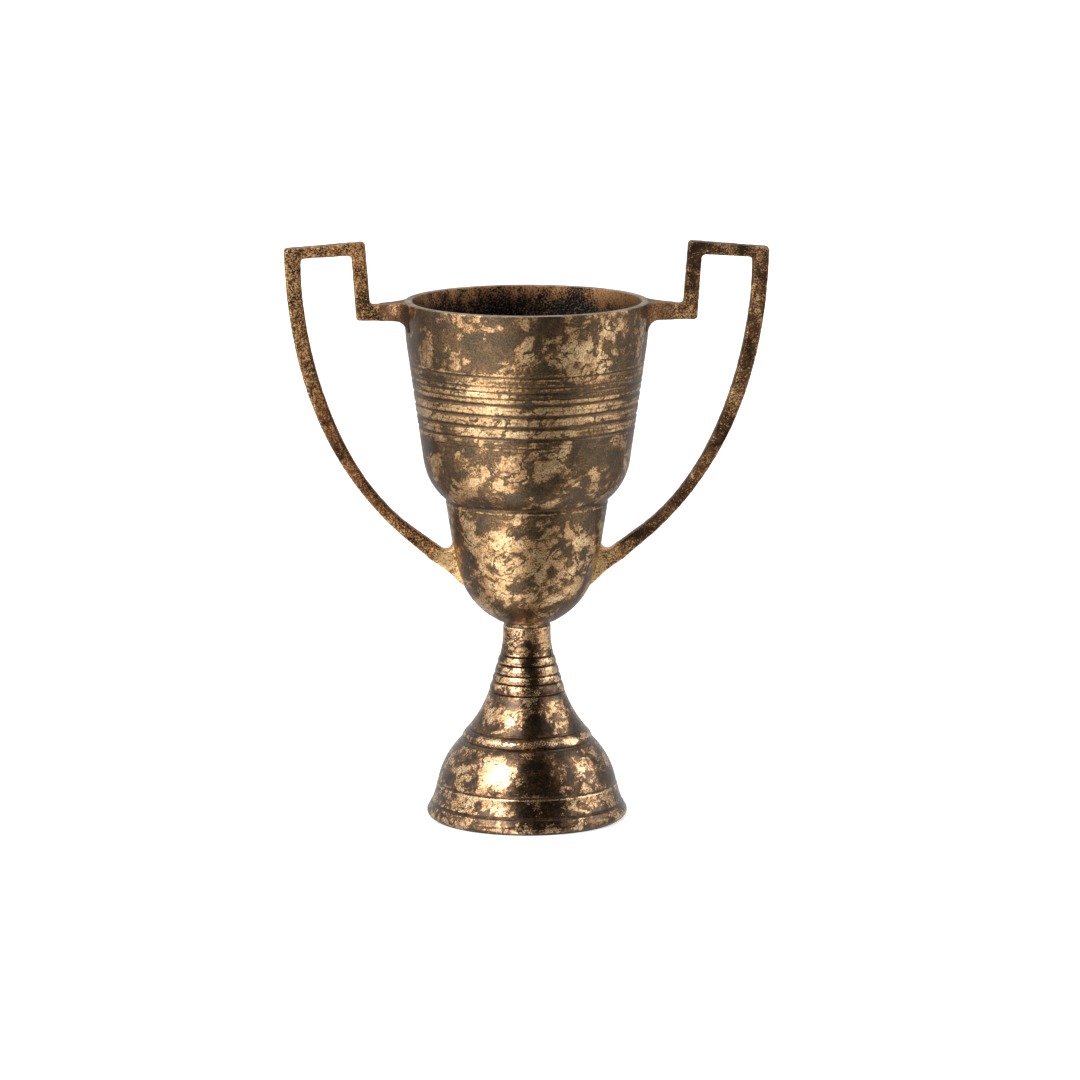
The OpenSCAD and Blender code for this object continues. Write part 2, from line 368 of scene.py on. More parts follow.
class Graph:
    """Node tree of a material or of the world, written as nested calls."""

    def __init__(self, tree: bpy.types.NodeTree, place: str) -> None:
        """Empties the tree and takes one kind of texture coordinates, by its socket's name."""
        self.tree = tree
        self.tree.nodes.clear()
        self.place = self.add("ShaderNodeTexCoord").outputs[place]
        self.x, self.y, self.z = self.split(self.place)

    def add(self, kind: str, **settings: object) -> bpy.types.Node:
        """Adds a node and sets its properties."""
        node = self.tree.nodes.new(kind)
        for name, value in settings.items():
            setattr(node, name, value)
        return node

    def feed(self, target: Socket, value: object) -> None:
        """Links a socket to target, or sets target to a number, vector or colour."""
        if isinstance(value, bpy.types.NodeSocket):
            self.tree.links.new(value, target)
        elif target.type == "RGBA" and len(value) == 3:
            target.default_value = (*value, 1.0)
        else:
            target.default_value = value

    def split(self, vector: Socket) -> tuple[Socket, Socket, Socket]:
        """Returns the three parts of a vector."""
        node = self.add("ShaderNodeSeparateXYZ")
        self.feed(node.inputs[0], vector)
        return node.outputs[0], node.outputs[1], node.outputs[2]

    def math(self, kind: str, a: object, b: object = 0.0, c: object = 0.0) -> Socket:
        """Adds a Math node and returns its result."""
        node = self.add("ShaderNodeMath", operation=kind)
        for target, value in zip(node.inputs, (a, b, c)):
            self.feed(target, value)
        return node.outputs[0]

    def add_scaled(self, total: object, value: object, strength: object) -> Socket:
        """Returns total + value x strength."""
        return self.math("MULTIPLY_ADD", value, strength, total)

    def centred(self, value: Socket) -> Socket:
        """Shifts a pattern that lies between 0 and 1 so that its mean is about 0."""
        return self.math("SUBTRACT", value, 0.5)

    def product(self, *values: object) -> Socket:
        """Multiplies all values."""
        total = values[0]
        for value in values[1:]:
            total = self.math("MULTIPLY", total, value)
        return total

    def inverse(self, value: Socket, strength: float = 1.0) -> Socket:
        """Returns 1 - strength x value."""
        return self.math("MULTIPLY_ADD", value, -strength, 1.0)

    def distance(self, a: object, b: object) -> Socket:
        """Returns the distance between two points."""
        node = self.add("ShaderNodeVectorMath", operation="DISTANCE")
        self.feed(node.inputs[0], a)
        self.feed(node.inputs[1], b)
        return node.outputs["Value"]

    def vector(self, kind: str, a: object, b: object = (0, 0, 0), scale: float = 1.0) -> Socket:
        """Adds a Vector Math node and returns its vector."""
        node = self.add("ShaderNodeVectorMath", operation=kind)
        self.feed(node.inputs[0], a)
        if kind == "SCALE":
            node.inputs["Scale"].default_value = scale
        else:
            self.feed(node.inputs[1], b)
        return node.outputs[0]

    def mapped(self, stretch: Colour, turn: Colour = (0, 0, 0), shift: Colour = (0, 0, 0)) -> Socket:
        """Returns coordinates that draw a pattern out along its own turned axes and shift it."""
        node = self.add("ShaderNodeMapping", vector_type="TEXTURE")
        self.feed(node.inputs["Vector"], self.place)
        node.inputs["Scale"].default_value = stretch
        node.inputs["Rotation"].default_value = turn
        node.inputs["Location"].default_value = shift
        return node.outputs[0]

    def noise(self, size: float, detail: float = 4.0, rough: float = 0.55, warp: float = 0.0,
              where: Socket | None = None, colour: bool = False) -> Socket:
        """Adds fractal noise.

        Args:
            size: Size of its largest features, in millimetres.
            detail: Number of octaves.
            rough: Strength of the fine octaves.
            warp: How far the noise distorts itself.
            where: Coordinates to read, or None for the tree's own.
            colour: True for three independent channels.

        Returns:
            The noise, from 0 to 1.
        """
        node = self.add("ShaderNodeTexNoise")
        self.feed(node.inputs["Vector"], where or self.place)
        node.inputs["Scale"].default_value = 1 / (size * MM)
        node.inputs["Detail"].default_value = detail
        node.inputs["Roughness"].default_value = rough
        node.inputs["Distortion"].default_value = warp
        return node.outputs["Color" if colour else "Fac"]

    def cells(self, size: float, feature: str = "F1", where: Socket | None = None) -> Socket:
        """Adds a Voronoi pattern with cells of the given size in millimetres."""
        node = self.add("ShaderNodeTexVoronoi", feature=feature)
        self.feed(node.inputs["Vector"], where or self.place)
        node.inputs["Scale"].default_value = 1 / (size * MM)
        return node.outputs["Distance"]

    def warped(self, amount: float, size: float, where: Socket | None = None) -> Socket:
        """Pushes coordinates about by noise, amount and size in millimetres."""
        push = self.vector("SUBTRACT", self.noise(size, 3.0, colour=True, where=where), (0.5, 0.5, 0.5))
        return self.vector("ADD", where or self.place, self.vector("SCALE", push, scale=2 * amount * MM))

    def step(self, value: Socket, low: float, high: float, reverse: bool = False) -> Socket:
        """Rises smoothly from 0 at low to 1 at high, or falls where reverse is set."""
        node = self.add("ShaderNodeMapRange", interpolation_type="SMOOTHSTEP")
        self.feed(node.inputs["Value"], value)
        node.inputs["From Min"].default_value = low
        node.inputs["From Max"].default_value = high
        node.inputs["To Min"].default_value = 1.0 if reverse else 0.0
        node.inputs["To Max"].default_value = 0.0 if reverse else 1.0
        return node.outputs[0]

    def band(self, value: Socket, low: float, high: float, soft: float) -> Socket:
        """Is 1 from low to high and fades over soft on both sides."""
        up = self.step(value, low - soft, low + soft)
        return self.product(up, self.step(value, high - soft, high + soft, reverse=True))

    def combined(self, value: Socket) -> Socket:
        """Repeats a number as all three parts of a vector."""
        node = self.add("ShaderNodeCombineXYZ")
        for target in node.inputs:
            self.feed(target, value)
        return node.outputs[0]

    def lines(self, heights: Sequence[Line]) -> Socket:
        """Draws soft level lines, each given as its height, half width and strength in millimetres."""
        total: object = 0.0
        for height, half, strength in heights:
            away = self.math("ABSOLUTE", self.math("SUBTRACT", self.z, height * MM))
            total = self.add_scaled(total, self.step(away, 0.0, half * MM, reverse=True), strength)
        return total

    def blend(self, share: object, a: object, b: object) -> Socket:
        """Mixes two colours; share 0 is a and 1 is b."""
        node = self.add("ShaderNodeMix", data_type="RGBA")
        self.feed(node.inputs[0], share)
        self.feed(node.inputs[6], a)
        self.feed(node.inputs[7], b)
        return node.outputs[2]

    def mix(self, share: object, a: object, b: object) -> Socket:
        """Mixes two numbers; share 0 is a and 1 is b."""
        node = self.add("ShaderNodeMix")
        self.feed(node.inputs[0], share)
        self.feed(node.inputs[2], a)
        self.feed(node.inputs[3], b)
        return node.outputs[0]

    def levels(self, value: Socket, stops: Sequence[tuple[float, float]]) -> Socket:
        """Reads grey levels off a ramp, given as (position, level) in rising order."""
        node = self.add("ShaderNodeValToRGB")
        self.feed(node.inputs[0], value)
        marks = node.color_ramp.elements
        marks[0].position, marks[1].position = stops[0][0], stops[-1][0]
        for position, _ in stops[1:-1]:
            marks.new(position)
        for mark, (position, level) in zip(marks, stops):
            mark.color = (level, level, level, 1)
        return node.outputs[0]


@dataclass(frozen=True)
class Spot:
    """A place where patina has been rubbed off, or where more of it has been kept; some spots use the
    bared metal as a painted highlight and the kept patina as painted shade.

    Attributes:
        x: Its place to the right of the axis, in millimetres.
        wall: Radius of the wall there; the spot is on the front, or at Y = 0 where this is 0.
        z: Its height.
        reach: Radius of the spot.
        rub_and_light: How much it is rubbed; negative where patina has been kept. On some spots positive
            paints a highlight and negative paints shade.
    """

    x: float
    wall: float
    z: float
    reach: float
    # positive bares the metal, negative keeps patina; on some spots these are a painted highlight and
    # painted shade
    rub_and_light: float

    def centre(self) -> Colour:
        """Returns its centre, in metres."""
        y = -math.sqrt(max(0.0, self.wall ** 2 - self.x ** 2))
        return (self.x * MM, y * MM, self.z * MM)


def spots_from(*rows: Row) -> tuple[Spot, ...]:
    """Makes spots from rows of x, wall, z, reach and rub."""
    return tuple(Spot(*row) for row in rows)


class Surface(Graph):
    """Node tree of one material with a Principled shader."""

    def __init__(self, name: str) -> None:
        """Makes an empty material that reads object coordinates."""
        self.material = bpy.data.materials.new(name)
        self.material.use_nodes = True
        super().__init__(self.material.node_tree, "Object")
        self.shader = self.add("ShaderNodeBsdfPrincipled")
        self.feed(self.add("ShaderNodeOutputMaterial").inputs["Surface"], self.shader.outputs["BSDF"])

    def rub_and_light(self, worn: Socket, spots: Sequence[Spot], where: Socket) -> Socket:
        """Adds spots to a wear pattern, some of them painted highlights and painted shade.

        Args:
            worn: The pattern.
            spots: The spots.
            where: Coordinates in which they are round.

        Returns:
            The pattern with the spots, each fading out over its outer two thirds.
        """
        for spot in spots:
            away = self.distance(where, spot.centre())
            near = self.step(away, spot.reach * 0.35 * MM, spot.reach * MM, reverse=True)
            worn = self.add_scaled(worn, near, spot.rub_and_light)
        return worn

    def dress(self, colour: object, rough: object, metal: object, height: Socket | None = None,
              relief: float = 0.05, coat: float = 0.0) -> bpy.types.Material:
        """Feeds the shader.

        Args:
            colour: Base colour.
            rough: Roughness.
            metal: Metallic share.
            height: Relief, from 0 to 1, or None for a smooth surface.
            relief: Height that 1 stands for, in millimetres.
            coat: Strength of a thin, smoother wax layer.

        Returns:
            The finished material.
        """
        self.feed(self.shader.inputs["Base Color"], colour)
        self.feed(self.shader.inputs["Roughness"], rough)
        self.feed(self.shader.inputs["Metallic"], metal)
        self.shader.inputs["Coat Weight"].default_value = coat
        self.shader.inputs["Coat Roughness"].default_value = COAT_ROUGHNESS
        if height is not None:
            bump = self.add("ShaderNodeBump")
            bump.inputs["Distance"].default_value = relief * MM
            self.feed(bump.inputs["Height"], height)
            self.feed(self.shader.inputs["Normal"], bump.outputs[0])
        return self.material


# ---- Finishes ---------------------------------------------------------------------------


@dataclass(frozen=True)
class Patina:
    """Turned bronze under a dark patina that has worn through in torn, leaf-like patches.

    Attributes:
        name: Name of the material.
        dark: The thickest patina.
        brown: Thin patina, where the metal starts to show.
        tan: Bare dull metal.
        gold: Bare rubbed metal.
        copper: Bare metal where it is redder.
        patch: Size of the patches, in millimetres.
        cover: Share of the surface under patina, as a threshold on the pattern.
        rough_dark: Roughness of the patina.
        rough_bare: Roughness of the bare metal.
        redness: Share of the copper tone.
        dark_lines: Grooves that hold patina.
        worn_lines: Ridges that are rubbed bright.
        streaks: Heights between which the pattern is drawn out round the piece.
        seed: Shift of the pattern, in metres.
        relief: Height of the grain, in millimetres.
        coat: Strength of the wax layer over it.
        powder: How far the grain frays the softer edges of the patches.
        lean: Angle at which the patches lean, in degrees.
        held: How much patina the dark lines hold.
        worn_off: How much of it the worn lines have lost.
        veins: How strongly dark veins run through the bare metal.
        spots: Places that are rubbed more or less than the rest; some of them are painted highlights and
            painted shade.
    """

    name: str
    dark: Colour
    brown: Colour
    tan: Colour
    gold: Colour
    copper: Colour
    patch: float
    cover: float
    rough_dark: float
    rough_bare: float
    redness: float
    dark_lines: tuple[Line, ...] = ()
    worn_lines: tuple[Line, ...] = ()
    streaks: Pair = (0.0, 0.0)
    seed: float = 0.0
    relief: float = 0.06
    coat: float = 0.1
    powder: float = 0.40
    lean: float = -24.0
    held: float = 0.22
    worn_off: float = 0.13
    veins: float = 0.19
    spots: tuple[Spot, ...] = ()

    def wear(self, g: Surface) -> Socket:
        """Measures how worn the patina is: high where it has come off and where a spot paints a highlight,
        low where a spot paints shade.
        """
        leaning = g.mapped((1.25, 1.1, 0.9), (0, math.radians(self.lean), 0), (self.seed, 0, self.seed))
        pulled = g.warped(0.8, 2.0, g.warped(2.6, 8.0, leaning))
        large = g.noise(self.patch, 4.0, 0.55, 0.4, pulled)
        lobes = g.cells(self.patch * 0.30, where=pulled)
        ragged = g.noise(2.2, 5.0, 0.7, where=pulled)
        worn = g.add_scaled(large, g.math("SUBTRACT", 0.42, lobes), 0.17)
        worn = g.add_scaled(worn, g.centred(ragged), 0.17)
        if self.streaks[1] > self.streaks[0]:
            drawn = g.noise(13.0, 6.0, 0.62, 0.4, g.mapped((3.2, 3.2, 0.55), shift=(self.seed, 0, 0)))
            zone = g.band(g.z, self.streaks[0] * MM, self.streaks[1] * MM, 5 * MM)
            worn = g.mix(g.product(zone, 0.8), worn, g.add_scaled(drawn, g.centred(ragged), 0.2))
        worn = g.rub_and_light(worn, self.spots, g.warped(2.5, 9.0))
        if self.dark_lines:
            worn = g.math("SUBTRACT", worn, g.product(g.lines(self.dark_lines), self.held))
        if self.worn_lines:
            worn = g.add_scaled(worn, g.lines(self.worn_lines), self.worn_off)
        rivers = g.noise(self.patch * 1.5, 4.0, 0.55, 1.2, pulled)
        river = g.step(g.math("ABSOLUTE", g.centred(rivers)), 0.005, 0.030, reverse=True)
        return g.math("SUBTRACT", worn, g.product(river, self.veins))

    def material(self) -> bpy.types.Material:
        """Builds the finish."""
        g = Surface(self.name)
        worn = self.wear(g)
        shifted = g.mapped((1, 1, 1), shift=(self.seed, self.seed, self.seed))
        elsewhere = g.mapped((1, 1, 1), shift=(self.seed + 0.3, 0.2, 0.1))
        grain = g.noise(0.8, 4.0, 0.8, where=shifted)
        crisp = g.step(worn, self.cover - 0.008, self.cover + 0.010)
        frayed = g.add_scaled(worn, g.centred(grain), self.powder)
        powdery = g.step(frayed, self.cover - 0.030, self.cover + 0.036)
        bare = g.mix(g.step(g.noise(self.patch * 1.4, 2.0, where=elsewhere), 0.42, 0.56), crisp, powdery)
        rubbed = g.step(worn, self.cover + 0.02, self.cover + 0.12)
        halo = g.step(worn, self.cover - 0.075, self.cover - 0.045)
        clouds = g.step(g.noise(self.patch * 0.8, 5.0, 0.62, 0.6, shifted), 0.44, 0.60)
        dots = g.step(g.noise(1.3, 3.0, 0.7, where=shifted), 0.44, 0.56)
        pits = g.step(g.noise(1.7, 3.0, 0.62, where=elsewhere), 0.57, 0.63)
        network = g.cells(self.patch * 0.32, "DISTANCE_TO_EDGE", g.warped(1.4, 3.0))
        cracks = g.step(network, 0.015, 0.06, reverse=True)
        cracks = g.product(cracks, g.step(g.noise(7.0, 2.0), 0.48, 0.62))
        reddish = g.step(g.noise(self.patch * 1.1, 3.0, 0.5, where=shifted), 0.40, 0.64)
        metal = g.blend(rubbed, self.tan, self.gold)
        metal = g.blend(g.product(reddish, self.redness), metal, self.copper)
        cloudy = g.product(clouds, g.mix(dots, 0.15, 0.75))
        thin = g.math("MAXIMUM", cloudy, g.product(halo, g.mix(dots, 0.3, 0.95)))
        base = g.blend(thin, self.dark, self.brown)
        base = g.blend(g.product(bare, g.inverse(pits, 0.85), g.inverse(cracks, 0.65)), base, metal)
        shade = g.mix(g.step(grain, 0.36, 0.64), 0.50, 1.42)
        base = g.vector("MULTIPLY", base, g.combined(shade))
        rough = g.add_scaled(g.mix(bare, self.rough_dark, self.rough_bare), g.centred(grain), 0.3)
        height = g.add_scaled(g.add_scaled(g.product(grain, 0.8), bare, 0.4), pits, -0.4)
        return g.dress(base, rough, 0.95, height, self.relief, self.coat)


@dataclass(frozen=True)
class CastBronze:
    """Rough cast bar: rust-brown oxide with gold where the sand grain has been rubbed.

    Attributes:
        name: Name of the material.
        dark: Oxide in the hollows.
        brown: Usual brown.
        gold: Rubbed high points.
        wear: Threshold of the gold, lower for more of it.
        zoning: How far the wear differs from place to place.
        seed: Shift of the pattern, in metres.
        fade: Distances from the middle between which the gold dies out, in millimetres.
        spots: Places that are rubbed more or less than the rest; on the handles they are painted shade
            over the middle of each bar and painted light at the left bar's top corner.
        zone: Size of the zones, in millimetres.
        lump: Size of the coarser unevenness, in millimetres.
        grain: Size of the sand grain, in millimetres.
        relief: Height of the grain, in millimetres.
    """

    name: str
    dark: Colour
    brown: Colour
    gold: Colour
    wear: float
    zoning: float = 0.4
    seed: float = 0.0
    fade: Pair = (0.0, 0.0)
    spots: tuple[Spot, ...] = ()
    zone: float = 14.0
    lump: float = 4.2
    grain: float = 0.9
    relief: float = 0.24

    def material(self) -> bpy.types.Material:
        """Builds the finish."""
        g = Surface(self.name)
        shifted = g.mapped((1, 1, 1), shift=(self.seed, 0, self.seed))
        zones = g.noise(self.zone, 4.0, 0.6, 0.8, shifted)
        sand = g.noise(self.grain, 4.0, 0.8, 0.2, shifted)
        coarse = g.noise(self.lump, 4.0, 0.6, 0.4, shifted)
        worn = g.add_scaled(sand, g.centred(zones), self.zoning)
        worn = g.add_scaled(worn, g.centred(coarse), self.zoning * 0.6)
        worn = g.rub_and_light(worn, self.spots, g.place)
        tone = g.blend(g.step(zones, 0.36, 0.60), self.dark, self.brown)
        if self.fade[1] > self.fade[0]:
            away = g.step(g.math("ABSOLUTE", g.x), self.fade[0] * MM, self.fade[1] * MM)
            worn = g.add_scaled(worn, away, -0.16)
            tone = g.blend(g.product(away, 0.75), tone, self.dark)
        gold = g.step(worn, self.wear - 0.04, self.wear + 0.07)
        tone = g.blend(g.product(g.step(sand, 0.38, 0.52, reverse=True), 0.88), tone, self.dark)
        tone = g.blend(gold, tone, self.gold)
        rough = g.mix(gold, 0.5, 0.32)
        return g.dress(tone, rough, 0.92, sand, self.relief)


@dataclass(frozen=True)
class RoughInside:
    """As-cast inside of the bowl: near black, warmer brown in clouds and towards the rim.

    Attributes:
        name: Name of the material.
        near_black: The blackest tone.
        brown: Brown clouds.
        warm: Tone just under the rim.
        warm_from: Height where it starts to warm, in millimetres.
        warm_to: Height where it is warmest, in millimetres.
        painted_glint: Painted highlight on the grain's tips in the near-black tone.
        ends: Distances from the middle between which it gets browner, in millimetres.
    """

    name: str
    near_black: Colour
    brown: Colour
    warm: Colour
    warm_from: float
    warm_to: float
    painted_glint: Colour = (0.14, 0.115, 0.09)
    ends: Pair = (30.0, 60.0)

    def material(self) -> bpy.types.Material:
        """Builds the finish."""
        g = Surface(self.name)
        zones = g.noise(11.0, 5.0, 0.62, 0.5, g.mapped((1, 1, 1.9)))
        grain = g.noise(0.95, 4.0, 0.75)
        lift = g.step(g.z, self.warm_from * MM, self.warm_to * MM)
        ends = g.step(g.math("ABSOLUTE", g.x), self.ends[0] * MM, self.ends[1] * MM)
        share = g.add_scaled(g.add_scaled(zones, g.centred(grain), 1.1), lift, 0.20)
        share = g.step(g.add_scaled(share, ends, 0.05), 0.52, 0.80)
        tone = g.blend(lift, self.brown, self.warm)
        # painted highlight: the grain's tips in the near-black tone are lifted to a grey glint
        near_black = g.blend(g.step(grain, 0.52, 0.62), self.near_black, self.painted_glint)
        tone = g.blend(share, near_black, tone)
        tone = g.blend(g.product(g.step(grain, 0.38, 0.54, reverse=True), 0.6), tone, self.near_black)
        return g.dress(tone, g.add_scaled(0.36, g.centred(grain), 0.4), 0.9, grain, 0.4)


@dataclass(frozen=True)
class Plain:
    """A metal or cloth with soft colour variation and fine grain.

    Attributes:
        name: Name of the material.
        low: Darker tone.
        high: Lighter tone.
        rough: Mean roughness.
        metal: Metallic share.
        zone: Size of the tonal clouds, in millimetres.
        grain: Size of the fine grain, in millimetres.
        relief: Height of the grain, in millimetres.
    """

    name: str
    low: Colour
    high: Colour
    rough: float
    metal: float
    zone: float = 8.0
    grain: float = 0.6
    relief: float = 0.02

    def material(self) -> bpy.types.Material:
        """Builds the finish."""
        g = Surface(self.name)
        zones = g.noise(self.zone, 5.0, 0.6, 0.6)
        grain = g.noise(self.grain, 3.0, 0.65)
        share = g.add_scaled(g.step(zones, 0.34, 0.66), g.centred(grain), 0.8)
        tone = g.blend(g.math("MINIMUM", g.math("MAXIMUM", share, 0.0), 1.0), self.low, self.high)
        rough = g.add_scaled(self.rough, g.centred(grain), 0.3)
        return g.dress(tone, rough, self.metal, grain, self.relief)


# ---- The cup ----------------------------------------------------------------------------


@dataclass
class Cup:
    """The bowl casting: grooved upper wall, shoulder, crease and lower cup.

    Attributes:
        rim_r: Outer radius of the rim.
        rim_z: Height of the rim.
        rim_w: Width of the flat rim.
        seam_z: Height of the joint with the neck.
        boss_r: Radius of the short boss on the neck.
        floor_z: Height of the floor inside.
        tap_r: Radius of the blind hole that the stud is screwed into.
        tap_top: Height of its end.
        grooves: Turned grooves in the wall, as (height, depth, half width).
        wall_low: Lower end of the straight wall, as (radius, height).
        wall_slope: Radius gained per millimetre of height.
        segments: Steps round the axis.
    """

    rim_r: float = field(default_factory=lambda: min(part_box("bowl")[1].xy) / MM - INSIDE_CAD)
    rim_z: float = field(default_factory=lambda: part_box("bowl")[1].z / MM)
    rim_w: float = 4.0
    seam_z: float = field(default_factory=lambda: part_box("bowl")[0].z / MM)
    boss_r: float = 12.2
    floor_z: float = 119.0
    tap_r: float = 4.0
    tap_top: float = 114.0
    grooves: tuple[tuple[float, float, float], ...] = (
        (203.5, 0.2, 0.6), (208.2, 0.55, 1.1), (214.2, 0.65, 1.25), (220.2, 0.65, 1.25),
        (226.2, 0.65, 1.25), (229.6, 0.2, 0.6), (232.8, 0.4, 0.9), (235.8, 0.2, 0.6),
        (240.8, 0.4, 0.8),
    )
    wall_low: Pair = (53.8, 189.3)
    wall_slope: float = 0.1415
    segments: int = 256

    def wall_r(self, z: float) -> float:
        """Radius of the straight wall at a height."""
        return self.wall_low[0] + self.wall_slope * (z - self.wall_low[1])

    def groove(self, z: float, depth: float, half: float) -> list[Pair]:
        """Outline of one round-bottomed groove with the burr that the tool throws up."""
        profile = ((-1.9, 0.0), (-1.35, -0.14), (-0.95, -0.06), (-0.6, 0.35), (-0.25, 0.85), (0.0, 1.0),
                   (0.25, 0.85), (0.6, 0.35), (0.95, -0.06), (1.35, -0.14), (1.9, 0.0))
        return [(self.wall_r(z + s * half) - d * depth, z + s * half) for s, d in profile]

    def outside(self) -> list[Pair]:
        """Outline of the outer surface, from the seam up to the rim."""
        r, z = self.rim_r, self.rim_z
        points = [(self.boss_r - 0.3, self.seam_z), (self.boss_r, self.seam_z + 0.3),
                  (self.boss_r, self.seam_z + 1.2), (self.boss_r + 0.6, self.seam_z + 2.0)]
        points += curve((15.2, 104.8), (31.8, 114.0), (36.1, 126.8), (38.9, 145.6), 30)
        points += [(42.2, 166.7), (42.35, 167.2), (42.25, 167.7), (42.05, 168.3), (42.25, 169.0),
                   (43.0, 169.7)]
        points += arc((43.2, 169.9), (50.4, 178.9), self.wall_low, 18)
        for one in self.grooves:
            points += self.groove(*one)
        points += arc((self.wall_r(246), 246), (r - 0.4, z - 15.4), (r, z - 1.2), 12)
        points += rounded((r, z - 2), (r, z), (r - 2, z), 0.8)
        return points

    def inside(self) -> list[Pair]:
        """Outline of the inner surface, from the rim down to the floor."""
        r, z = self.rim_r - self.rim_w, self.rim_z
        points = rounded((self.rim_r, z), (r, z), (r - 0.6, z - 20), 0.7)
        points += [(r - 1, z - 16)]
        points += arc((50.2, 190), (47.4, 180.6), (39.6, 171), 12)
        points += curve((38.2, 166.5), (33.6, 136), (30.5, self.floor_z), (0, self.floor_z), 24)
        return points

    def spots(self) -> tuple[Spot, ...]:
        """Places where the bowl is rubbed bright or has kept its patina; two of them are partly a painted
        highlight.
        """
        high, middle, low, cup = self.rim_r - 2, 58.5, 55.0, 38.0
        return spots_from(
            (31, high, 256, 26, 0.13), (12, high, 254, 11, 0.09), (-14, high, 262, 15, -0.07),
            (-32, high, 258, 11, -0.06), (-55, high, 257, 10, -0.08), (-40, high, 251, 10, -0.07),
            # (-30, middle, 226) and (-52, middle, 224) are partly wear and partly a painted highlight:
            # bare metal across the groove band where the bright reflection on the left falls
            (-45, high, 266, 7, 0.05), (-30, middle, 226, 30, 0.10), (-52, middle, 224, 20, 0.10),
            (-42, middle, 246, 11, -0.05), (12, middle, 222, 9, 0.03), (-14, low, 189, 15, 0.09),
            (12, low, 188, 11, 0.05), (34, low, 187, 9, 0.05), (34, middle, 203, 17, -0.12),
            (20, middle, 232, 13, -0.015), (4, middle, 206, 12, 0.03),
            # dark vein through the bright field under the rim
            (51, high, 265, 5, -0.16), (45, high, 259, 5, -0.2), (38.5, high, 255, 5, -0.2),
            (30, high, 252.5, 5, -0.2), (24, high, 247, 5, -0.2), (33, high, 241, 4.5, -0.16),
            # dark vein under the grooves
            (-44, middle, 210, 6, -0.10), (-33, middle, 205, 6, -0.14), (-22, middle, 203, 6, -0.14),
            (-11, middle, 206, 5, -0.09), (3, high, 263, 9, -0.05),
            # dark vein across the lower cup
            (-28, cup, 138, 4.5, -0.12), (-19, cup, 135.5, 4, -0.13), (-9, cup, 133, 4, -0.13),
            (2, cup, 131.5, 4, -0.13), (12, cup, 135, 4.5, -0.13), (21, cup, 139.5, 4.5, -0.13),
            (28, cup, 144, 4.5, -0.12), (-24, cup, 157, 6, -0.06), (16, cup, 152, 5, -0.08),
            (-17, cup, 137, 17, 0.06), (18, cup, 131, 17, 0.06), (-15, cup, 160, 9, 0.05),
            (6, cup, 161, 8, 0.05), (0, cup, 110, 12, -0.06),
        )

    def build(self) -> None:
        """Models the bowl and dresses its wall, rim and inside."""
        outer = dense(self.outside(), 1.3)
        inner = dense(self.inside(), 3.2)
        under = [(0.0, self.tap_top), (self.tap_r, self.tap_top), (self.tap_r, self.seam_z),
                 (self.boss_r - 0.3, self.seam_z)]
        bowl = lathe("bowl_shell", outer + inner + under, self.segments)
        dark_lines = tuple((z, half * 1.1, min(1.0, depth * 1.6)) for z, depth, half in self.grooves)
        lips = tuple((z + way * half * 1.7, half * 0.9, min(0.9, depth))
                     for z, depth, half in self.grooves for way in (-1, 1))
        wall = Patina(
            "bowl_patina", dark=(0.107, 0.073, 0.043), brown=(0.25, 0.138, 0.062), tan=(0.60, 0.375, 0.18),
            gold=(0.84, 0.59, 0.32), copper=(0.50, 0.265, 0.11), patch=14.0, cover=0.528,
            rough_dark=0.34, rough_bare=0.30, redness=0.55, coat=0.16,
            dark_lines=((169.2, 1.3, 1.0),) + dark_lines,
            worn_lines=((138.0, 36.0, 0.35), (167.0, 0.7, 1.2), (190.0, 16.0, 0.2)) + lips,
            streaks=(206.0, 242.0), seed=0.137, spots=self.spots(),
        )
        rim = Plain("rim_metal", (0.20, 0.145, 0.10), (0.44, 0.345, 0.26), 0.42, 0.9, zone=9, grain=0.5)
        inner_skin = RoughInside("bowl_inside", (0.007, 0.005, 0.004), (0.20, 0.105, 0.05),
                                 (0.48, 0.25, 0.11), self.rim_z - 13, self.rim_z - 0.5)
        for finish in (wall, rim, inner_skin):
            bowl.data.materials.append(finish.material())
        rim_slot, inside_slot = 1, 2
        for face in bowl.data.polygons:
            radius = math.hypot(face.center.x, face.center.y) / MM
            height = face.center.z / MM
            inward = face.normal.x * face.center.x + face.normal.y * face.center.y < 0
            on_wall = inward and radius < self.rim_r - self.rim_w + 0.5
            on_floor = radius < 30 and face.normal.z > 0.5
            if face.normal.z > 0.75 and height > self.rim_z - 0.5:
                face.material_index = rim_slot
            elif height > self.floor_z - 1 and (on_wall or on_floor):
                face.material_index = inside_slot
        hand_over(bowl, "bowl_patina", "bowl")


# ---- The foot ---------------------------------------------------------------------------


